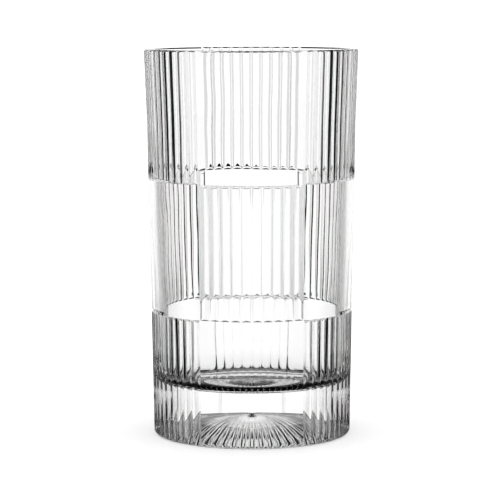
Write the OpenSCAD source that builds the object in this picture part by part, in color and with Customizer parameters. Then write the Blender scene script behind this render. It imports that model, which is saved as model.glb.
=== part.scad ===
// Highball glass of pressed clear glass, with a heavy base.
// The outside has three bands, and each band has fluted panels between plain ones.
// The middle band is turned by one panel, so the outside is a checkerboard.
// The glass stands on the plane z = 0 with its axis on Z, and its front faces -Y.
// The nodes are zones of one moulding, split along its own lines, and they meet face to face.

/* [Heights] */
// Thickness of the solid base, from the table to the floor of the cavity
base_h = 19.5; // [16:0.5:23]
// Height of the lower line, where the lower band of panels ends
lower_line_h = 46.8; // [42:0.2:52]
// Height of the middle band, between the two lines
middle_band_h = 49.3; // [40:0.1:58]
// Height from the upper line to where the mouth starts to flare
upper_band_h = 20.3; // [14:0.1:26]
// Height of the flared mouth, up to the top of the lip
mouth_h = 28; // [20:0.5:36]

/* [Outside] */
// Outer radius at the table, before the heel is rounded
foot_r = 36.9; // [36:0.1:37.6]
// Outer radius at the lower line
lower_line_r = 37.7; // [37.2:0.1:38.2]
// Outer radius at the upper line
upper_line_r = 38.6; // [38.2:0.1:39]
// Outer radius where the mouth starts to flare
flare_r = 38.9; // [38.6:0.1:39.4]
// Outer radius at the lip
lip_r = 40; // [39.4:0.1:42]
// Radius of the rounded heel
heel_round_r = 1.8; // [0.8:0.1:2.2]
// How far the heel's round bulges past the wall, so that a faint edge shows where they meet
heel_edge_w = 0.05; // [0.02:0.01:0.15]
// Radius of the lip's outer edge
lip_outer_round_r = 0.9; // [0.8:0.1:1.8]
// Radius of the lip's inner edge
lip_inner_round_r = 0.9; // [0.6:0.1:1.4]

/* [Cavity] */
// Inner radius of the straight wall, taken down to the floor
cavity_floor_r = 32.2; // [31:0.1:33]
// Inner radius of the straight wall, taken up to the lip
cavity_lip_r = 36.5; // [35.5:0.1:36.8]
// Thickness of the wall at the lower line
lower_line_wall = 4.56; // [4:0.02:5.2]
// Thickness of the wall at the upper line
upper_line_wall = 3.76; // [3.2:0.02:4.4]
// Thickness of the wall where the mouth starts to flare
flare_wall = 3.36; // [2.8:0.02:4]
// Radius of the curve between the wall and the floor
floor_round_r = 6.5; // [4:0.5:9]

/* [Panels] */
// Number of panels round the glass, half of them fluted
panel_count = 6; // [4:2:8]
// Number of flutes in one fluted panel
panel_flutes = 10; // [8:1:12]
// Depth of a flute below the plain surface
flute_depth = 0.6; // [0.35:0.05:0.7]
// Width of the crest left between two flutes
crest_w = 0.3; // [0.2:0.05:0.5]
// Height of the sloped step that ends a flute
flute_end_h = 1.2; // [0.6:0.1:2]

/* [Underside] */
// Radius of the hollow under the base, where it meets the resting ring
punt_r = 32; // [29:0.5:33]
// Height of the hollow at the centre
punt_h = 9; // [6:0.5:11]
// Number of rays in the sunburst
ray_count = 60; // [36:6:60]
// Depth of a ray at the resting ring
ray_depth = 0.9; // [0.4:0.1:0.9]
// Width of the ridge between two rays at the resting ring
ray_ridge_w = 0.25; // [0.15:0.05:0.5]
// Radius of the plain centre that the rays start from
ray_start_r = 8; // [6:0.5:12]

/* [Hidden] */
$fn = 96;
glass_colour = [0.86, 0.9, 0.91, 0.45];
// How far a cut runs past the face that it opens
overrun = 1;

front_angle = 270;
panel_angle = 360 / panel_count;
flute_angle = panel_angle / panel_flutes;
ray_angle = 360 / ray_count;

// Heights of the lines, of the flare and of the lip above the table
upper_line_z = lower_line_h + middle_band_h;
flare_z = upper_line_z + upper_band_h;
lip_z = flare_z + mouth_h;

// Radii of the cavity at the lines and at the flare, one wall inside the outer radii
lower_line_cavity_r = lower_line_r - lower_line_wall;
upper_line_cavity_r = upper_line_r - upper_line_wall;
flare_cavity_r = flare_r - flare_wall;

// Radius gained for each unit of height, and the lean in degrees, of the cavity wall above
// the floor, then the leans of that wall below the lip and of the outside at both ends
floor_slope = (lower_line_cavity_r - cavity_floor_r) / (lower_line_h - base_h);
floor_lean = atan(floor_slope);
mouth_lean = atan((cavity_lip_r - flare_cavity_r) / mouth_h);
foot_lean = atan((lower_line_r - foot_r) / lower_line_h);
lip_lean = atan((lip_r - flare_r) / mouth_h);

// The curve between wall and floor: its centre, and the height where it runs into the wall,
// which is also the plane between the base and the lower band
floor_round_x = cavity_floor_r + floor_round_r * (floor_slope - 1 / cos(floor_lean));
floor_round_z = base_h + floor_round_r;
base_top_z = floor_round_z - floor_round_r * sin(floor_lean);

// The hollow under the base is a shallow part of a sphere, and the rays bend on a flatter
// curve through the same top, so a ray gets deeper and wider towards the resting ring
punt_sphere_r = (punt_r * punt_r + punt_h * punt_h) / (2 * punt_h);
ray_edge_h = punt_h - ray_depth;
ray_bend_r = (punt_r * punt_r + ray_edge_h * ray_edge_h) / (2 * ray_edge_h);
ray_w = 2 * punt_r * sin(ray_angle / 2) - ray_ridge_w;
ray_round_r = (ray_w * ray_w / 4 + ray_depth * ray_depth) / (2 * ray_depth);
ray_end_r = sqrt(punt_h * (2 * ray_bend_r - punt_h)) + overrun;

// Radius at height z on the straight line through two rings
function line_r(z, z0, r0, z1, r1) = r0 + (r1 - r0) * (z - z0) / (z1 - z0);

// Radius of the cavity wall at height z
function cavity_r(z) =
    z <= lower_line_h ? line_r(z, base_h, cavity_floor_r, lower_line_h, lower_line_cavity_r) :
    z <= upper_line_z ? line_r(z, lower_line_h, lower_line_cavity_r, upper_line_z, upper_line_cavity_r) :
    z <= flare_z ? line_r(z, upper_line_z, upper_line_cavity_r, flare_z, flare_cavity_r) :
    line_r(z, flare_z, flare_cavity_r, lip_z, cavity_lip_r);

// A flute on a ring of radius r: its width, its depth below that chord, the radius of its
// round bottom, and how far from the glass's axis the centre of that round lies
function flute_w(r) = 2 * r * sin(flute_angle / 2) - crest_w;
function flute_sag(r) = flute_depth - r + sqrt(r * r - flute_w(r) * flute_w(r) / 4);
function flute_round_r(r) = (flute_w(r) * flute_w(r) / 4 + flute_sag(r) * flute_sag(r)) / (2 * flute_sag(r));
function flute_axis_r(r) = r - flute_depth + flute_round_r(r);

// What a rounded corner loses, between two directions seen from the centre of its round
module corner_cut_2d(round_r, from_angle, to_angle) {
    far = round_r + overrun;
    middle = (from_angle + to_angle) / 2;
    difference() {
        polygon([[0, 0], far * [cos(from_angle), sin(from_angle)],
            2 * far * [cos(middle), sin(middle)], far * [cos(to_angle), sin(to_angle)]]);
        circle(r = round_r);
    }
}

// A ring of wall between two heights, with straight sides
module wall_ring(z0, r0, z1, r1) {
    rotate_extrude()
        polygon([[cavity_r(z0), z0], [r0, z0], [r1, z1], [cavity_r(z1), z1]]);
}

// The space of one flute: a slightly tapered round bar that leans with the outside
module flute_bar(z0, r0, z1, r1) {
    low_z = z0 - overrun;
    high_z = z1 + overrun;
    low_r = line_r(low_z, z0, r0, z1, r1);
    high_r = line_r(high_z, z0, r0, z1, r1);
    rise = high_z - low_z;
    run = flute_axis_r(high_r) - flute_axis_r(low_r);
    translate([flute_axis_r(low_r), 0, low_z])
        rotate([0, atan2(run, rise), 0])
            cylinder(h = sqrt(rise * rise + run * run), r1 = flute_round_r(low_r), r2 = flute_round_r(high_r));
}

// The flutes of every second panel, the first of them centred at first_angle
module flute_set(first_angle, z0, r0, z1, r1) {
    for (panel = [0 : 2 : panel_count - 1])
        for (flute = [0 : panel_flutes - 1])
            rotate([0, 0, first_angle + panel * panel_angle + (flute - (panel_flutes - 1) / 2) * flute_angle])
                flute_bar(z0, r0, z1, r1);
}

// The ring that flutes may reach between two lines; a step of zero lets them run on past that end
module flute_reach(z0, r0, low_step, z1, r1, high_step) {
    deep = flute_depth + overrun;
    low_z = low_step > 0 ? z0 : z0 - 2 * overrun;
    high_z = high_step > 0 ? z1 : z1 + 2 * overrun;
    rotate_extrude()
        polygon([[r0 - deep, low_z + low_step * deep / flute_depth],
            [r0 + overrun, low_z - low_step * overrun / flute_depth],
            [r1 + overrun, high_z + high_step * overrun / flute_depth],
            [r1 - deep, high_z - high_step * deep / flute_depth]]);
}

// The solid base: a dished floor on top, the sunburst below, and flutes down to the heel
module base() {
    top_r = line_r(base_top_z, 0, foot_r, lower_line_h, lower_line_r);
    heel_x = line_r(heel_round_r, 0, foot_r, lower_line_h, lower_line_r)
        - heel_round_r / cos(foot_lean) + heel_edge_w;
    color(glass_colour)
        difference() {
            rotate_extrude()
                difference() {
                    polygon([[0, 0], [foot_r, 0], [top_r, base_top_z], [0, base_top_z]]);
                    translate([heel_x, heel_round_r])
                        corner_cut_2d(heel_round_r, -90, -foot_lean);
                    dish_2d();
                }
            punt();
            sunburst();
            flute_set(front_angle + panel_angle, 0, foot_r, lower_line_h, lower_line_r);
        }
}

// The bottom of the cavity in outline: a flat floor that curves up into the wall
module dish_2d() {
    translate([0, base_h])
        square([floor_round_x, floor_round_r + overrun]);
    translate([floor_round_x, floor_round_z])
        circle(r = floor_round_r);
}

// The hollow under the base
module punt() {
    translate([0, 0, punt_h - punt_sphere_r])
        sphere(r = punt_sphere_r);
}

// The rays, with a ridge on the centre line at the front
module sunburst() {
    for (ray = [0 : ray_count - 1])
        rotate([0, 0, front_angle + (ray + 0.5) * ray_angle])
            ray_groove();
}

// One ray: a round bar bent to its curve, kept inside its own slice of the base
module ray_groove() {
    start_angle = asin(ray_start_r / ray_bend_r);
    end_angle = asin(ray_end_r / ray_bend_r);
    slice_w = foot_r * (ray_w + ray_ridge_w / 2) / punt_r;
    intersection() {
        translate([0, 0, punt_h - ray_bend_r])
            rotate([90, 0, 0])
                rotate([0, 0, 90 - end_angle])
                    rotate_extrude(angle = end_angle - start_angle)
                        translate([ray_bend_r - ray_round_r, 0])
                            circle(r = ray_round_r);
        translate([0, 0, -overrun])
            linear_extrude(height = punt_h + 2 * overrun)
                polygon([[0, 0], [foot_r, slice_w / 2], [foot_r, -slice_w / 2]]);
    }
}

// The lower band of wall, plain at the front
module lower_band() {
    bottom_r = line_r(base_top_z, 0, foot_r, lower_line_h, lower_line_r);
    color(glass_colour)
        difference() {
            wall_ring(base_top_z, bottom_r, lower_line_h, lower_line_r);
            intersection() {
                flute_set(front_angle + panel_angle, 0, foot_r, lower_line_h, lower_line_r);
                flute_reach(0, foot_r, 0, lower_line_h, lower_line_r, flute_end_h);
            }
        }
}

// The middle band of wall, fluted at the front
module middle_band() {
    color(glass_colour)
        difference() {
            wall_ring(lower_line_h, lower_line_r, upper_line_z, upper_line_r);
            intersection() {
                flute_set(front_angle, lower_line_h, lower_line_r, upper_line_z, upper_line_r);
                flute_reach(lower_line_h, lower_line_r, flute_end_h, upper_line_z, upper_line_r, flute_end_h);
            }
        }
}

// The straight part of the upper band, plain at the front
module upper_band() {
    color(glass_colour)
        difference() {
            wall_ring(upper_line_z, upper_line_r, flare_z, flare_r);
            intersection() {
                flute_set(front_angle + panel_angle, upper_line_z, upper_line_r, flare_z, flare_r);
                flute_reach(upper_line_z, upper_line_r, flute_end_h, flare_z, flare_r, 0);
            }
        }
}

// The flared mouth, whose flutes run out in the rounded lip
module mouth() {
    outer_x = line_r(lip_z - lip_outer_round_r, flare_z, flare_r, lip_z, lip_r)
        - lip_outer_round_r / cos(lip_lean);
    inner_x = cavity_r(lip_z - lip_inner_round_r) + lip_inner_round_r / cos(mouth_lean);
    color(glass_colour)
        difference() {
            rotate_extrude()
                difference() {
                    polygon([[cavity_r(flare_z), flare_z], [flare_r, flare_z], [lip_r, lip_z],
                        [cavity_lip_r, lip_z]]);
                    translate([outer_x, lip_z - lip_outer_round_r])
                        corner_cut_2d(lip_outer_round_r, -lip_lean, 90);
                    translate([inner_x, lip_z - lip_inner_round_r])
                        corner_cut_2d(lip_inner_round_r, 90, 180 - mouth_lean);
                }
            flute_set(front_angle + panel_angle, flare_z, flare_r, lip_z, lip_r);
        }
}

base();
lower_band();
middle_band();
upper_band();
mouth();
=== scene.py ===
# %% [markdown]
# # A highball glass of clear pressed glass
# The real object is one piece of glass. Its outside carries three bands of panels, fluted and plain
# in turn, and its base is a thick solid block with a sunburst pressed into the underside.
# Clear glass shows every surface at once, so the whole skin has to be one closed mesh: outside, lip,
# cavity and underside. Any face left inside would show as a ghost.

# %% Load the frame
import math

import bmesh
import bpy
from mathutils import Euler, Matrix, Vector


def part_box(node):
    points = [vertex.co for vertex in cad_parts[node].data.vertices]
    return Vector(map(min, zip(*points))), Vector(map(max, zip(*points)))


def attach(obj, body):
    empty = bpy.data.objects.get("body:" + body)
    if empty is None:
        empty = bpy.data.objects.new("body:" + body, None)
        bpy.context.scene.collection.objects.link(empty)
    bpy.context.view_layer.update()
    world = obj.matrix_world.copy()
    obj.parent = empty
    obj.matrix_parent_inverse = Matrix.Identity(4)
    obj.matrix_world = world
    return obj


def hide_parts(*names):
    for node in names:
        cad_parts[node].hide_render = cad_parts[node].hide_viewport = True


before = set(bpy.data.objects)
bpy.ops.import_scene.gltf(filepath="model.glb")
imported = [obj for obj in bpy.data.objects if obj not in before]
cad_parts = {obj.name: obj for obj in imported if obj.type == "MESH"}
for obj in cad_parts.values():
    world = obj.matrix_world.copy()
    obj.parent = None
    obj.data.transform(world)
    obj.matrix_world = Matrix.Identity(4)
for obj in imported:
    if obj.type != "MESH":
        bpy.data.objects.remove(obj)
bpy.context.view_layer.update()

# %% [markdown]
# ## Sizes that come from the frame
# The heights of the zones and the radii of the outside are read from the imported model, so the skin
# follows it. What the boxes can't tell, such as a flute's depth, is repeated here in real sizes. They
# are the solids' sizes, apart from the softness of a crest and the radius where the rays start.

# %% Read the frame
MM = 0.001
zone = {name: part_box(name) for name in ("base", "lower_band", "middle_band", "upper_band", "mouth")}
lower_line_z = zone["lower_band"][1].z
upper_line_z = zone["middle_band"][1].z
flare_z = zone["upper_band"][1].z
lip_z = zone["mouth"][1].z
lower_line_r = zone["lower_band"][1].x
upper_line_r = zone["middle_band"][1].x
flare_r = zone["upper_band"][1].x
print("lines and lip, mm:", [round(z / MM, 2) for z in (lower_line_z, upper_line_z, flare_z, lip_z)])

# %% Sizes of the moulding
foot_r = 36.9 * MM
lip_r = 40 * MM
heel_round_r = 1.8 * MM
lip_outer_round_r = 0.9 * MM
lip_inner_round_r = 0.9 * MM
floor_z = 19.5 * MM
floor_round_r = 6.5 * MM
cavity_floor_r = 32.2 * MM
cavity_lip_r = 36.5 * MM
lower_line_wall = 4.56 * MM
upper_line_wall = 3.76 * MM
flare_wall = 3.36 * MM
flute_depth = 0.6 * MM
crest_w = 0.3 * MM
crest_softness = 0.02 * MM
scoop_h = 1.2 * MM
punt_r = 32 * MM
punt_h = 9 * MM
ray_depth = 0.9 * MM
ray_ridge_w = 0.25 * MM
ray_start_r = 2 * MM
panel_count = 6
panel_flutes = 10
pitch_angle = math.radians(360 / (panel_count * panel_flutes))
print("flutes round the glass:", panel_count * panel_flutes)

# %% [markdown]
# ## The camera
# A long lens from just above the lip gives the photograph's flat view: the lip is nearly a straight
# line, and the base shows a shallow ellipse.

# %% Place the camera
camera_distance = 850 * MM
camera_height = 160.95 * MM
camera_pitch = math.radians(6.174)
camera_roll = math.radians(0.14)
focal_pixels = 2275
photo_pixels = 500
axis_pixel = 251.0
camera_data = bpy.data.cameras.new("camera")
camera_data.sensor_width = 36
camera_data.lens = focal_pixels / photo_pixels * camera_data.sensor_width
camera_data.clip_start = 0.01
camera = bpy.data.objects.new("camera", camera_data)
bpy.context.scene.collection.objects.link(camera)
side_step = (axis_pixel - photo_pixels / 2) / focal_pixels * camera_distance
camera.location = (-side_step, -camera_distance, camera_height)
camera.rotation_euler = Euler((math.pi / 2 - camera_pitch, camera_roll, 0), "XYZ")
bpy.context.scene.camera = camera
print("lens in mm:", round(camera_data.lens, 1))

# %% [markdown]
# ## The outline
# A turned shape is easiest as half an outline, drawn point by point from the middle of the
# underside, out over the resting ring, up the outside, over the lip, down the cavity and back to the
# axis. Points lie close together only where the outline bends or a flute ends.

# %% Straight and round stretches
def between(a, b, share):
    return a + (b - a) * share


def on_stations(stations, z):
    """Radius at height z on straight lines from station to station."""
    for (z0, r0), (z1, r1) in zip(stations, stations[1:]):
        if z <= z1:
            return between(r0, r1, (z - z0) / (z1 - z0))
    return stations[-1][1]


def outer_r(z):
    """Radius of the plain outside at height z."""
    return on_stations([(0, foot_r), (lower_line_z, lower_line_r), (upper_line_z, upper_line_r),
                        (flare_z, flare_r), (lip_z, lip_r)], z)


cavity_stations = [(floor_z, cavity_floor_r), (lower_line_z, lower_line_r - lower_line_wall),
                   (upper_line_z, upper_line_r - upper_line_wall), (flare_z, flare_r - flare_wall),
                   (lip_z, cavity_lip_r)]


def cavity_r(z):
    """Radius of the cavity wall at height z."""
    return on_stations(cavity_stations, z)


def lean_of(low, high):
    """Angle by which the wall leans outwards between two stations."""
    return math.atan((high[1] - low[1]) / (high[0] - low[0]))


floor_lean = lean_of(cavity_stations[0], cavity_stations[1])
mouth_lean = lean_of(cavity_stations[-2], cavity_stations[-1])


def arc(centre, radius, start, end, steps):
    """Points on an arc, its angles in degrees, from start to end."""
    points = []
    for step in range(steps + 1):
        angle = math.radians(between(start, end, step / steps))
        points.append((centre[0] + radius * math.cos(angle), centre[1] + radius * math.sin(angle)))
    return points


print("leans of the cavity, degrees:",
      [round(math.degrees(lean), 2) for lean in (floor_lean, mouth_lean)])

# %% The underside and the heel
PUNT_RINGS = 16
RING_STEPS = 5
HEEL_STEPS = 8
RAY_END_STEP = 0.02 * MM
punt_sphere_r = (punt_r ** 2 + punt_h ** 2) / (2 * punt_h)


def punt_z(r):
    """Height of the hollow's plain dome at radius r."""
    return punt_h - punt_sphere_r + math.sqrt(punt_sphere_r ** 2 - r ** 2)


def ray_top_z(r):
    """Height of a ray's deepest line. Its depth grows evenly with the radius."""
    return punt_z(r) + ray_depth * r / punt_r


ray_end_r = punt_r
while ray_top_z(ray_end_r) > 0:
    ray_end_r += RAY_END_STEP
print("rays run out at radius, mm:", round(ray_end_r / MM, 2))
dome_radii = [punt_r * step / PUNT_RINGS for step in range(PUNT_RINGS + 1)]
underside = [(r, punt_z(r)) for r in dome_radii]
underside += [(between(punt_r, ray_end_r, step / RING_STEPS), 0) for step in range(1, RING_STEPS + 1)]
foot_lean = math.degrees(math.atan((lower_line_r - foot_r) / lower_line_z))
heel_centre = (outer_r(heel_round_r) - heel_round_r / math.cos(math.radians(foot_lean)), heel_round_r)
heel = arc(heel_centre, heel_round_r, -90, -foot_lean, HEEL_STEPS)
print("underside and heel points:", len(underside) + len(heel))

# %% The outside wall
# The sparse rings stand at these heights in millimetres, and the dense ones at these shares of a scoop.
PLAIN_HEIGHTS = [8, 20, 33, 60, 72, 84, 105]
END_SHARES = [0.0, 0.1, 0.22, 0.36, 0.52, 0.7, 0.88, 1.0]
MOUTH_STEP = 4 * MM


def wall_heights():
    """Heights of the rings on the outside: sparse on a band, dense where flutes end."""
    heights = {height * MM for height in PLAIN_HEIGHTS}
    for line_z in (lower_line_z, upper_line_z):
        for share in END_SHARES:
            heights.add(line_z + share * scoop_h)
            heights.add(line_z - share * scoop_h)
    z = flare_z - 2 * MOUTH_STEP
    while z < lip_z - lip_outer_round_r - MOUTH_STEP / 2:
        heights.add(z)
        z += MOUTH_STEP
    return sorted(heights)


outside = [(outer_r(z), z) for z in wall_heights()]
print("outside points:", len(outside))

# %% The lip
LIP_OUTER_STEPS = 8
LIP_INNER_STEPS = 6
lip_lean = math.degrees(math.atan((lip_r - flare_r) / (lip_z - flare_z)))
outer_centre_z = lip_z - lip_outer_round_r
inner_centre_z = lip_z - lip_inner_round_r
outer_centre_r = outer_r(outer_centre_z) - lip_outer_round_r / math.cos(math.radians(lip_lean))
inner_centre_r = cavity_r(inner_centre_z) + lip_inner_round_r / math.cos(mouth_lean)
lip_outer = arc((outer_centre_r, outer_centre_z), lip_outer_round_r, -lip_lean, 90, LIP_OUTER_STEPS)
lip_inner = arc((inner_centre_r, inner_centre_z), lip_inner_round_r, 90, 180 - math.degrees(mouth_lean),
                LIP_INNER_STEPS)
print("lip points:", len(lip_outer) + len(lip_inner))

# %% The cavity
CAVITY_RINGS = 28
CAVITY_TOP_GAP = 4 * MM
CAVITY_LOW_GAP = 1 * MM
FLOOR_ROUND_STEPS = 10
FLOOR_RINGS = 8
flat_floor_r = cavity_floor_r + floor_round_r * (math.tan(floor_lean) - 1 / math.cos(floor_lean))
floor_round_centre = (flat_floor_r, floor_z + floor_round_r)
cavity_top_z = lip_z - CAVITY_TOP_GAP
cavity_low_z = floor_z + floor_round_r + CAVITY_LOW_GAP
cavity = []
for ring in range(CAVITY_RINGS + 1):
    z = between(cavity_top_z, cavity_low_z, ring / CAVITY_RINGS)
    cavity.append((cavity_r(z), z))
cavity += arc(floor_round_centre, floor_round_r, -math.degrees(floor_lean), -90, FLOOR_ROUND_STEPS)
cavity += [(flat_floor_r * (1 - step / FLOOR_RINGS), floor_z) for step in range(1, FLOOR_RINGS + 1)]
outline = underside + heel + outside + lip_outer + lip_inner + cavity
print("points on the whole outline:", len(outline))

# %% [markdown]
# ## One slice of six degrees
# The pattern repeats every flute, so only one slice is modelled. The outline is drawn by extruding a
# single vertex, and then it is spun in small unequal steps: short ones next to a crest, where the
# surface turns fast, and longer ones across the flute.

# %% Helpers for edit mode
def deselect_all():
    """Leaves edit mode and selects no object."""
    if bpy.context.object and bpy.context.object.mode != "OBJECT":
        bpy.ops.object.mode_set(mode="OBJECT")
    bpy.ops.object.select_all(action="DESELECT")


def select_only(piece):
    """Selects one object and makes it the active one."""
    deselect_all()
    piece.select_set(True)
    bpy.context.view_layer.objects.active = piece


def edit_all_of(piece):
    """Opens one object in edit mode, with its whole mesh selected."""
    select_only(piece)
    bpy.ops.object.mode_set(mode="EDIT")
    bpy.ops.mesh.select_all(action="SELECT")


def select_where(piece, wanted):
    """Selects the vertices of the piece, in edit mode, for which wanted(position) is true."""
    bpy.ops.mesh.select_all(action="DESELECT")
    mesh = bmesh.from_edit_mesh(piece.data)
    for vertex in mesh.verts:
        vertex.select = bool(wanted(vertex.co))
    mesh.select_flush_mode()
    bmesh.update_edit_mesh(piece.data)


def spread_of(vertices):
    """The smallest and the largest angle of the vertices round the axis, in degrees."""
    angles = [math.degrees(math.atan2(v.co.y, v.co.x)) for v in vertices
              if math.hypot(v.co.x, v.co.y) > ON_AXIS_R]
    return round(min(angles), 3), round(max(angles), 3)


# %% Draw the outline and spin it
# Where the columns of a slice stand, as shares of the way across it.
COLUMN_SHARES = [0, 0.025, 0.07, 0.16, 0.32, 0.5, 0.68, 0.84, 0.93, 0.975, 1]
MERGE_DISTANCE = 0.001 * MM
ON_AXIS_R = 0.01 * MM


def spun_slice(name):
    """One slice of the turned shape, from angle 0 to one pitch, still open in edit mode.

    It starts from a plane merged to one vertex. A negative spin turns towards positive angles.
    """
    deselect_all()
    bpy.ops.mesh.primitive_plane_add(size=2 * MM, location=(0, 0, 0))
    piece = bpy.context.object
    piece.name = name
    bpy.ops.object.mode_set(mode="EDIT")
    bpy.ops.mesh.select_all(action="SELECT")
    bpy.ops.mesh.merge(type="CENTER")
    bpy.ops.transform.translate(value=(outline[0][0], 0, outline[0][1]))
    for (r0, z0), (r1, z1) in zip(outline, outline[1:]):
        bpy.ops.mesh.extrude_vertices_move(TRANSFORM_OT_translate={"value": (r1 - r0, 0, z1 - z0)})
    bpy.ops.mesh.select_all(action="SELECT")
    for a, b in zip(COLUMN_SHARES, COLUMN_SHARES[1:]):
        bpy.ops.mesh.spin(steps=1, angle=-(b - a) * pitch_angle, center=(0, 0, 0), axis=(0, 0, 1))
    bpy.ops.mesh.select_all(action="SELECT")
    bpy.ops.mesh.remove_doubles(threshold=MERGE_DISTANCE)
    return piece


def column_of(position):
    """Which column of a slice a point lies on, or None on the axis."""
    if math.hypot(position.x, position.y) < ON_AXIS_R:
        return None
    share = math.atan2(position.y, position.x) / pitch_angle
    return min(range(len(COLUMN_SHARES)), key=lambda column: abs(COLUMN_SHARES[column] - share))


glass_slice = spun_slice("slice")
slice_mesh = bmesh.from_edit_mesh(glass_slice.data)
print("the slice runs from and to, degrees:", spread_of(slice_mesh.verts))
print("slice vertices:", len(slice_mesh.verts))

# %% [markdown]
# ## The sunburst underneath
# Each ray is a round groove that gets deeper towards the resting ring. A ray's ridge falls on a
# flute's crest, so the columns of the slice already lie where the groove needs them. The rings of
# the dome are lifted column by column, each by the depth that the groove has there.

# %% Press the ray into the slice
SAME_PLACE = 0.001 * MM
LEAST_MOVE = 0.0005 * MM


def select_place(piece, column, r, z):
    """Selects the one vertex in a column of the slice that lies at radius r and height z."""
    select_where(piece, lambda p: column_of(p) == column
                 and abs(math.hypot(p.x, p.y) - r) < SAME_PLACE and abs(p.z - z) < SAME_PLACE)


def soft_max(value, softness):
    """The larger of value and zero, with a rounded bend between the two."""
    return (value + math.sqrt(value * value + softness * softness)) / 2


def ray_lift(share, r):
    """How far a ray lifts the underside at radius r, at a share of the way across the slice."""
    ground = punt_z(r) if r < punt_r else 0
    depth = ray_depth * r / punt_r
    width = 2 * r * math.sin(pitch_angle / 2) - ray_ridge_w * r / punt_r
    round_r = (width ** 2 / 4 + depth ** 2) / (2 * depth)
    offset = r * math.sin((share - 0.5) * pitch_angle)
    edge = r * math.sin(0.5 * pitch_angle)
    softness = crest_softness * r / punt_r
    deep = ray_top_z(r) - ground - round_r + math.sqrt(round_r ** 2 - offset ** 2)
    rim = ray_top_z(r) - ground - round_r + math.sqrt(round_r ** 2 - edge ** 2)
    return soft_max(deep, softness) - soft_max(rim, softness)


lifted = 0
for r, z in underside:
    if r < ray_start_r:
        continue
    for column, share in enumerate(COLUMN_SHARES):
        lift = ray_lift(share, r)
        if lift < LEAST_MOVE:
            continue
        select_place(glass_slice, column, r, z)
        bpy.ops.transform.translate(value=(0, 0, lift))
        lifted += 1
print("places lifted for the ray:", lifted)

# %% [markdown]
# ## The flutes
# A flute is a shallow round groove. At the two lines it ends in a round scoop, steepest right at the
# line, and at the heel and the lip it simply runs out over the rounding. A slice of each kind is
# needed: one with its flute in the middle band, and one with flutes in the upper and lower bands.

# %% Cut the flutes
outer_rings = heel + outside + lip_outer
scoop_round_r = (scoop_h ** 2 + flute_depth ** 2) / (2 * flute_depth)


def flute_at(share, r):
    """Depth of a flute below a plain surface of radius r, before its crest is rounded."""
    chord = 2 * r * math.sin(pitch_angle / 2) - crest_w
    sag = flute_depth - r + math.sqrt(r ** 2 - chord ** 2 / 4)
    round_r = (chord ** 2 / 4 + sag ** 2) / (2 * sag)
    axis_r = r - flute_depth + round_r
    angle = (share - 0.5) * pitch_angle
    return r - axis_r * math.cos(angle) + math.sqrt(round_r ** 2 - (axis_r * math.sin(angle)) ** 2)


def flute_cut(share, z, middle):
    """How far the flute lies inside the plain outside at height z. Crests stay on it exactly."""
    if (lower_line_z < z < upper_line_z) != middle:
        return 0
    gone_up = min(scoop_h, abs(z - lower_line_z), abs(z - upper_line_z))
    room = flute_depth - scoop_round_r + math.sqrt(scoop_round_r ** 2 - (scoop_h - gone_up) ** 2)
    r = outer_r(z)
    cut = soft_max(flute_at(share, r), crest_softness) - soft_max(flute_at(0, r), crest_softness)
    return min(cut, room)


def cut_flutes(piece, middle):
    """Draws the columns of the piece in towards the axis, ring by ring."""
    moved = 0
    for r, z in outer_rings:
        for column, share in enumerate(COLUMN_SHARES):
            wanted_r = min(r, outer_r(z) - flute_cut(share, z, middle))
            if r - wanted_r < LEAST_MOVE:
                continue
            select_place(piece, column, r, z)
            bpy.ops.transform.resize(value=(wanted_r / r, wanted_r / r, 1), center_override=(0, 0, 0))
            moved += 1
    return moved


select_only(glass_slice)
bpy.ops.object.duplicate()
outer_slice = bpy.context.object
outer_slice.name = "outer_slice"
for piece, middle in ((glass_slice, True), (outer_slice, False)):
    select_only(piece)
    bpy.ops.object.mode_set(mode="EDIT")
    print(piece.name, "places moved in:", cut_flutes(piece, middle))
    bpy.ops.object.mode_set(mode="OBJECT")

# %% [markdown]
# ## From slices to the whole glass
# Ten slices make a panel, two panels of opposite kinds make a third of the glass, and three thirds
# close the ring. The front, at -Y, is the middle of a panel whose middle band is fluted.

# %% Repeat the slices
def repeat_all(piece, copies, step_angle):
    """Adds turned copies of everything in the piece, each one step further round."""
    edit_all_of(piece)
    bpy.ops.mesh.spin(steps=copies, dupli=True, angle=-copies * step_angle, center=(0, 0, 0),
                      axis=(0, 0, 1))
    bpy.ops.object.mode_set(mode="OBJECT")


def turn_all(piece, angle):
    """Turns the piece's mesh round the axis, and leaves its object where it is."""
    edit_all_of(piece)
    bpy.ops.transform.rotate(value=angle, orient_axis="Z", center_override=(0, 0, 0))
    bpy.ops.object.mode_set(mode="OBJECT")


panel_angle = math.radians(360 / panel_count)
for piece in (glass_slice, outer_slice):
    repeat_all(piece, panel_flutes - 1, pitch_angle)
print("a panel runs from and to, degrees:", spread_of(outer_slice.data.vertices))
turn_all(outer_slice, panel_angle)
print("after the turn:", spread_of(outer_slice.data.vertices))
select_only(glass_slice)
outer_slice.select_set(True)
bpy.ops.object.join()
glass = bpy.context.object
glass.name = "glass"
repeat_all(glass, panel_count // 2 - 1, 2 * panel_angle)
print("vertices before merging:", len(glass.data.vertices))

# %% [markdown]
# ## One closed skin
# The slices only lie edge to edge so far. Merging the doubled vertices makes one skin, and the check
# below counts edges that don't have exactly two faces: for glass it has to be zero.

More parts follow.
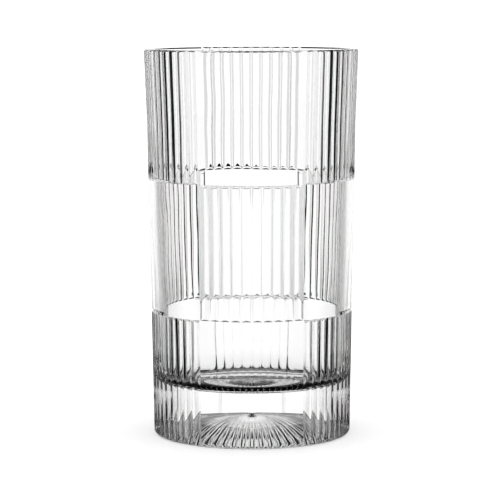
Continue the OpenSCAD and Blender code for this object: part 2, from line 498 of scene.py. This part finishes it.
# %% Merge and smooth the skin
SMOOTH_ANGLE = math.radians(30)
edit_all_of(glass)
bpy.ops.mesh.remove_doubles(threshold=MERGE_DISTANCE)
bpy.ops.mesh.select_all(action="SELECT")
bpy.ops.mesh.normals_make_consistent(inside=False)
skin = bmesh.from_edit_mesh(glass.data)
loose_edges = sum(1 for edge in skin.edges if not edge.is_manifold)
skin_volume = skin.calc_volume()
triangles = sum(len(face.verts) - 2 for face in skin.faces)
bpy.ops.object.mode_set(mode="OBJECT")
bpy.ops.object.shade_smooth_by_angle(angle=SMOOTH_ANGLE)
print("edges without two faces:", loose_edges, "triangles:", triangles)
print("volume of glass in cubic centimetres:", round(skin_volume / (10 * MM) ** 3, 2))

# %% [markdown]
# ## Waves inside
# The plunger that presses the cavity never leaves it quite even. Slow waves of about a tenth of a
# millimetre bend the lines of the far flutes, as they do in the photograph. A vertex group fades the
# waves out towards the floor and the lip, so those keep their shape.

# %% Give the cavity wall its waves
WAVE_DEPTH = 0.12 * MM
WAVE_LENGTH = 14 * MM
WAVE_FADE = 8 * MM
WAVE_LOW_GAP = 2 * MM
WALL_REACH = 0.01 * MM
waves_low_z = cavity_low_z + WAVE_LOW_GAP
waves_top_z = cavity_top_z
cavity_wall = glass.vertex_groups.new(name="cavity_wall")
for vertex in glass.data.vertices:
    z = vertex.co.z
    on_wall = math.hypot(vertex.co.x, vertex.co.y) < cavity_r(z) + WALL_REACH
    if waves_low_z < z < waves_top_z and on_wall:
        fade = min(1, (z - waves_low_z) / WAVE_FADE, (waves_top_z - z) / WAVE_FADE)
        cavity_wall.add([vertex.index], fade, "REPLACE")
select_only(glass)
waves = bpy.data.textures.new("cavity_waves", "CLOUDS")
waves.noise_scale = WAVE_LENGTH
waves.noise_depth = 0
bpy.ops.object.modifier_add(type="DISPLACE")
displace = glass.modifiers[-1]
displace.texture = waves
displace.texture_coords = "LOCAL"
displace.direction = "NORMAL"
displace.strength = WAVE_DEPTH
displace.mid_level = 0.5
displace.vertex_group = cavity_wall.name
bpy.ops.object.modifier_apply(modifier=displace.name)
print("vertices on the cavity wall:", sum(1 for v in glass.data.vertices if v.groups))

# %% [markdown]
# ## The glass itself
# Pressed glass that has been polished by fire is clear and smooth, but not as even as a lens. Slow
# noise in the roughness and a very faint waviness in the normal keep its highlights from looking
# computed.

# %% Clear glass
GLASS_IOR = 1.5
POLISH_SCALE = 60
POLISH_ROUGHEST = 0.004
RIPPLE_SCALE = 90
RIPPLE_STRENGTH = 0.1
RIPPLE_DEPTH = 0.02 * MM


def clear_glass_material():
    """Clear glass, hardly rough, with a faint ripple."""
    material = bpy.data.materials.new("clear_glass")
    material.use_nodes = True
    nodes = material.node_tree.nodes
    links = material.node_tree.links
    shader = nodes["Principled BSDF"]
    shader.inputs["Base Color"].default_value = (1, 1, 1, 1)
    shader.inputs["Metallic"].default_value = 0
    shader.inputs["Transmission Weight"].default_value = 1
    shader.inputs["IOR"].default_value = GLASS_IOR
    place = nodes.new("ShaderNodeTexCoord")
    polish = nodes.new("ShaderNodeTexNoise")
    polish.inputs["Scale"].default_value = POLISH_SCALE
    polish.inputs["Detail"].default_value = 3
    polish_range = nodes.new("ShaderNodeMapRange")
    polish_range.inputs["To Min"].default_value = 0
    polish_range.inputs["To Max"].default_value = POLISH_ROUGHEST
    ripple = nodes.new("ShaderNodeTexNoise")
    ripple.inputs["Scale"].default_value = RIPPLE_SCALE
    ripple.inputs["Detail"].default_value = 1
    bump = nodes.new("ShaderNodeBump")
    bump.inputs["Strength"].default_value = RIPPLE_STRENGTH
    bump.inputs["Distance"].default_value = RIPPLE_DEPTH
    links.new(place.outputs["Object"], polish.inputs["Vector"])
    links.new(polish.outputs["Fac"], polish_range.inputs["Value"])
    links.new(polish_range.outputs["Result"], shader.inputs["Roughness"])
    links.new(place.outputs["Object"], ripple.inputs["Vector"])
    links.new(ripple.outputs["Fac"], bump.inputs["Height"])
    links.new(bump.outputs["Normal"], shader.inputs["Normal"])
    return material


glass.data.materials.clear()
glass.data.materials.append(clear_glass_material())
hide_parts("base", "lower_band", "middle_band", "upper_band", "mouth")
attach(glass, "root")
print("materials on the glass:", [slot.name for slot in glass.material_slots])

# %% [markdown]
# ## Floor, cards and light
# Clear glass is drawn by what surrounds it. The floor glows a little, like a light table, so the glass
# throws hardly any shade on it. A tent of cards stands round the glass with one bright opening behind
# it. That is how glass is usually photographed: flat areas stay bright, and edges, crests and flutes
# turn dark. The cards of the tent are carried by the camera, so that the opening is behind the glass
# from every side. They are seen only in reflections and through the glass. Every matt surface of the
# studio has the same faint mottling, which is one node group.

# %% A trace of mottling
MOTTLE_SCALE = 4
MOTTLE_SHADE = 0.985


def mottle_group():
    """A node group that puts out one grey with darker patches."""
    group = bpy.data.node_groups.new("mottle", "ShaderNodeTree")
    group.interface.new_socket(name="Grey", in_out="INPUT", socket_type="NodeSocketFloat")
    group.interface.new_socket(name="Scale", in_out="INPUT", socket_type="NodeSocketFloat")
    group.interface.new_socket(name="Colour", in_out="OUTPUT", socket_type="NodeSocketColor")
    nodes = group.nodes
    links = group.links
    given = nodes.new("NodeGroupInput")
    result = nodes.new("NodeGroupOutput")
    place = nodes.new("ShaderNodeTexCoord")
    patches = nodes.new("ShaderNodeTexNoise")
    shade = nodes.new("ShaderNodeMapRange")
    shade.inputs["To Min"].default_value = 1
    shade.inputs["To Max"].default_value = MOTTLE_SHADE
    shaded = nodes.new("ShaderNodeMath")
    shaded.operation = "MULTIPLY"
    links.new(place.outputs["Object"], patches.inputs["Vector"])
    links.new(given.outputs["Scale"], patches.inputs["Scale"])
    links.new(patches.outputs["Fac"], shade.inputs["Value"])
    links.new(given.outputs["Grey"], shaded.inputs[0])
    links.new(shade.outputs["Result"], shaded.inputs[1])
    links.new(shaded.outputs["Value"], result.inputs["Colour"])
    return group


mottle = mottle_group()
print("nodes in the mottle group:", len(mottle.nodes))

# %% A pale floor
FLOOR_SIZE = 6
FLOOR_GREY = 0.6
FLOOR_GLOW = 0.27
MATT_ROUGHNESS = 0.9


def plain_material(name, grey):
    """A matt surface of one grey, mottled."""
    material = bpy.data.materials.new(name)
    material.use_nodes = True
    nodes = material.node_tree.nodes
    shader = nodes["Principled BSDF"]
    shader.inputs["Roughness"].default_value = MATT_ROUGHNESS
    shader.inputs["Specular IOR Level"].default_value = 0
    mottled = nodes.new("ShaderNodeGroup")
    mottled.name = "mottled"
    mottled.node_tree = mottle
    mottled.inputs["Grey"].default_value = grey
    mottled.inputs["Scale"].default_value = MOTTLE_SCALE
    material.node_tree.links.new(mottled.outputs["Colour"], shader.inputs["Base Color"])
    return material


def glowing_material(name, grey, glow):
    """A matt surface that also shines a little by itself, like a light table."""
    material = plain_material(name, grey)
    shader = material.node_tree.nodes["Principled BSDF"]
    shader.inputs["Emission Color"].default_value = (1, 1, 1, 1)
    shader.inputs["Emission Strength"].default_value = glow
    return material


deselect_all()
bpy.ops.mesh.primitive_plane_add(size=FLOOR_SIZE, location=(0, 0, 0))
floor = bpy.context.object
floor.name = "floor"
floor.data.materials.append(glowing_material("pale_floor", FLOOR_GREY, FLOOR_GLOW))
print("floor, metres across:", FLOOR_SIZE)

# %% [markdown]
# ## Cards on the floor
# The hollow and its rays look straight down, so what lies under the glass decides whether they can be
# seen. A dark ring under the outer part of the hollow is painted shade, standing in for the glass's own
# shade on the floor, and turns one side of each ray dark. A white ring inside it glows, painted light
# that keeps the floor of the cavity bright, and a dark spot in the middle, painted shade too, draws the
# nested arcs that show on that floor. A dark collar round the foot is the glass's painted shadow on the
# floor, and does for the heel what the dark ring does for the rays. It is open towards the back, where
# the rays need the pale floor, and the camera carries it, so that it never lies behind the glass.

# %% Lay the cards under and round the foot
CARD_LIFT = 0.1 * MM
CIRCLE_CORNERS = 96
SPOT_R = 9 * MM
WHITE_R = 20 * MM
# The white ring glows as painted light. The spot, the dark ring and the collar are painted shade.
WHITE_GREY = 0.9
WHITE_GLOW = 0.4
UNDER_SHADE_GREY = 0.01
COLLAR_R = 74 * MM
COLLAR_SHADE_GREY = 0.02
# From and to, in degrees from +X towards the back.
COLLAR_OPENING = (25, 155)
contact_r = foot_r - heel_round_r


def lay_circle(name, radius, fill_type, material):
    """A circle just above the floor."""
    deselect_all()
    bpy.ops.mesh.primitive_circle_add(vertices=CIRCLE_CORNERS, radius=radius, fill_type=fill_type,
                                      location=(0, 0, CARD_LIFT))
    card = bpy.context.object
    card.name = name
    card.data.materials.append(material)
    return card


def lay_ring(name, inner, outer, material):
    """A flat ring just above the floor, between two radii."""
    ring = lay_circle(name, inner, "NOTHING", material)
    edit_all_of(ring)
    bpy.ops.mesh.extrude_edges_move()
    bpy.ops.transform.resize(value=(outer / inner, outer / inner, 1), center_override=(0, 0, 0))
    bpy.ops.object.mode_set(mode="OBJECT")
    return ring


def carry_card(card):
    """Lets the camera carry a card, which is seen only in reflections and through the glass."""
    card.parent = camera
    card.matrix_parent_inverse = camera.matrix_world.inverted()
    card.visible_camera = False
    card.visible_diffuse = False
    card.visible_shadow = False


def in_opening(position):
    """Whether a point of the collar lies where it is open."""
    return COLLAR_OPENING[0] < math.degrees(math.atan2(position.y, position.x)) < COLLAR_OPENING[1]


# This brings the camera's matrix up to date, which the carried cards need.
bpy.context.view_layer.update()
# Painted shade for the spot, the dark ring and the collar, and glowing painted light for the white
# ring.
painted_shade_card = plain_material("painted_shade_card", UNDER_SHADE_GREY)
painted_light_card = glowing_material("painted_light_card", WHITE_GREY, WHITE_GLOW)
painted_shade_spot = lay_circle("painted_shade_spot", SPOT_R, "NGON", painted_shade_card)
painted_light_ring = lay_ring("painted_light_ring", SPOT_R, WHITE_R, painted_light_card)
painted_shade_ring = lay_ring("painted_shade_ring", WHITE_R, contact_r, painted_shade_card)
collar = lay_ring("collar", contact_r, COLLAR_R, plain_material("painted_shade_collar", COLLAR_SHADE_GREY))
bpy.ops.object.mode_set(mode="EDIT")
select_where(collar, in_opening)
bpy.ops.mesh.delete(type="VERT")
bpy.ops.object.mode_set(mode="OBJECT")
carry_card(collar)
print("faces in the dark ring and the collar:", len(painted_shade_ring.data.polygons), len(collar.data.polygons))

# %% [markdown]
# ## The tent
# Each side card is bent along a few places, and its grey is painted on its corners as the light and
# shade of a studio seen in the glass. It is painted light, pale from the opening round to the side of
# the glass and greyer low down, and painted shade, nearly black above the glass and from its side to
# the front. The plain panels look at the pale part, the crests at the dark one. The top card is pale,
# painted light, because the heel and the rays look up at it.

# %% The tent of cards
TENT_TOP = 0.6
TENT_BOTTOM = -0.05
# Heights of the corners in metres, in pairs of one grey: low down, along the wall, above the glass.
SIDE_HEIGHTS = [TENT_BOTTOM, 0.012, 0.04, 0.2, 0.26, TENT_TOP]
# Each side card is bent along these places: degrees from straight behind, metres from the axis, and
# the greys of the three pairs, which are painted light and shade.
SIDE_PLACES = [
    (11, 1.4, 0.85, 0.84, 0.6), (16, 0.8, 0.7, 0.76, 0.4), (22, 0.45, 0.6, 0.85, 0.02),
    (30, 0.26, 0.5, 0.98, 0.02), (45, 0.13, 0.45, 0.98, 0.02), (60, 0.088, 0.4, 0.98, 0.02),
    (77, 0.068, 0.15, 0.85, 0.02), (81, 0.066, 0.01, 0.01, 0.01), (100, 0.062, 0.01, 0.01, 0.01),
    (145, 0.12, 0.01, 0.01, 0.01)]
# The front card is painted shade, and the top card is painted light.
FRONT_SHADE_GREY = 0.1
TOP_LIGHT_GREY = 0.85


def place_on_floor(angle, distance, side):
    """X and Y of a place on the left (-1) or the right (1)."""
    return (side * distance * math.sin(math.radians(angle)), distance * math.cos(math.radians(angle)))


def painted_light_and_shade_material():
    """A matt card whose grey, set on its corners, is painted light and shade."""
    material = plain_material("painted_light_and_shade_card", 1)
    nodes = material.node_tree.nodes
    links = material.node_tree.links
    paint = nodes.new("ShaderNodeAttribute")
    paint.attribute_name = "grey"
    blend = nodes.new("ShaderNodeMix")
    blend.data_type = "RGBA"
    blend.blend_type = "MULTIPLY"
    blend.inputs["Factor"].default_value = 1
    links.new(nodes["mottled"].outputs["Colour"], blend.inputs["A"])
    links.new(paint.outputs["Color"], blend.inputs["B"])
    links.new(blend.outputs["Result"], nodes["Principled BSDF"].inputs["Base Color"])
    return material


light_and_shade_card_material = painted_light_and_shade_material()


def add_card(name, columns):
    """A card through columns of (corner, grey) pairs, low to high, carried by the camera."""
    deselect_all()
    rows = len(columns[0])
    bpy.ops.mesh.primitive_grid_add(x_subdivisions=len(columns) - 1, y_subdivisions=rows - 1, size=1)
    card = bpy.context.object
    card.name = name
    ordered = sorted(card.data.vertices, key=lambda v: (round(v.co.x, 4), v.co.y))
    paint = card.data.color_attributes.new("grey", "FLOAT_COLOR", "POINT")
    corners = [pair for column in columns for pair in column]
    for vertex, (corner, grey) in zip(ordered, corners):
        vertex.co = corner
        paint.data[vertex.index].color = (grey, grey, grey, 1)
    card.data.materials.append(light_and_shade_card_material)
    carry_card(card)


for name, side in (("left_card", -1), ("right_card", 1)):
    columns = []
    for angle, distance, low, middle, high in SIDE_PLACES:
        place = place_on_floor(angle, distance, side)
        columns.append([((*place, z), grey)
                        for z, grey in zip(SIDE_HEIGHTS, (low, low, middle, middle, high, high))])
    add_card(name, columns)
back_left, back_right = [place_on_floor(*SIDE_PLACES[0][:2], side) for side in (-1, 1)]
front_left, front_right = [place_on_floor(*SIDE_PLACES[-1][:2], side) for side in (-1, 1)]
add_card("front_card", [[((*place, z), FRONT_SHADE_GREY) for z in (TENT_BOTTOM, TENT_TOP)]
                        for place in (front_left, front_right)])
add_card("top_card", [[((x, y, TENT_TOP), TOP_LIGHT_GREY) for y in (front_left[1], back_left[1])]
                      for x in (back_left[0], back_right[0])])
print("side card places:", len(SIDE_PLACES))

# %% [markdown]
# ## Two blades of painted shade
# The lip and the ends of the flutes bend the view down by twenty to forty degrees. With only a pale
# floor there they would vanish. Two dark sheets behind the glass, painted shade that only the glass
# shows, give them something to show, and each lies edge-on to the camera, in line with one of the two
# lines at the back of the glass, so that nothing else shows it. The walls are thinner at the top than
# at the bottom, like a wedge, and bend every view down by a little under a degree, which the slope of
# the blades allows for.

# %% Hang the blades behind the lines
BLADE_NEAR = 0.085
BLADE_FAR = 0.24
# From and to, in degrees from +X towards the back.
BLADE_ANGLES = (140, 40)
BLADE_STEPS = 8
BLADE_SHADE_GREY = 0.01
WEDGE_BEND = math.tan(math.radians(0.9))


def add_blade(name, line_z, line_r):
    """A dark sheet of painted shade along the views through the back half of one line."""
    columns = []
    for step in range(BLADE_STEPS + 1):
        angle = math.radians(between(*BLADE_ANGLES, step / BLADE_STEPS))
        start = Vector((line_r * math.cos(angle), line_r * math.sin(angle), line_z))
        sight = start - camera.location
        slope = sight.z / sight.y - WEDGE_BEND
        turn = sight.x / sight.y
        ends = [(start.x + (y - start.y) * turn, y, start.z + (y - start.y) * slope)
                for y in (BLADE_NEAR, BLADE_FAR)]
        columns.append([(end, BLADE_SHADE_GREY) for end in ends])
    add_card(name, columns)


# Both blades are painted shade, seen only in reflections and through the glass.
add_blade("lower_blade", lower_line_z, lower_line_r)
add_blade("upper_blade", upper_line_z, upper_line_r)
print("blades reach back from and to, mm:", round(BLADE_NEAR / MM), round(BLADE_FAR / MM))

# %% [markdown]
# ## Light and picture
# There are no lamps. An even white sky and the glowing floor light everything. Light that crosses the
# glass meets many surfaces, so it gets many bounces. The contrast look gives the picture the
# photograph's white ground and dark lines.

# %% Light
SKY_STRENGTH = 0.7
GLASS_BOUNCES = 24
GLOSSY_BOUNCES = 12
world = bpy.data.worlds.new("studio")
bpy.context.scene.world = world
world.use_nodes = True
background = world.node_tree.nodes["Background"]
background.inputs["Color"].default_value = (1, 1, 1, 1)
background.inputs["Strength"].default_value = SKY_STRENGTH
scene = bpy.context.scene
scene.view_settings.view_transform = "Standard"
scene.view_settings.look = "Very High Contrast"
scene.cycles.max_bounces = GLASS_BOUNCES
scene.cycles.transmission_bounces = GLASS_BOUNCES
scene.cycles.glossy_bounces = GLOSSY_BOUNCES
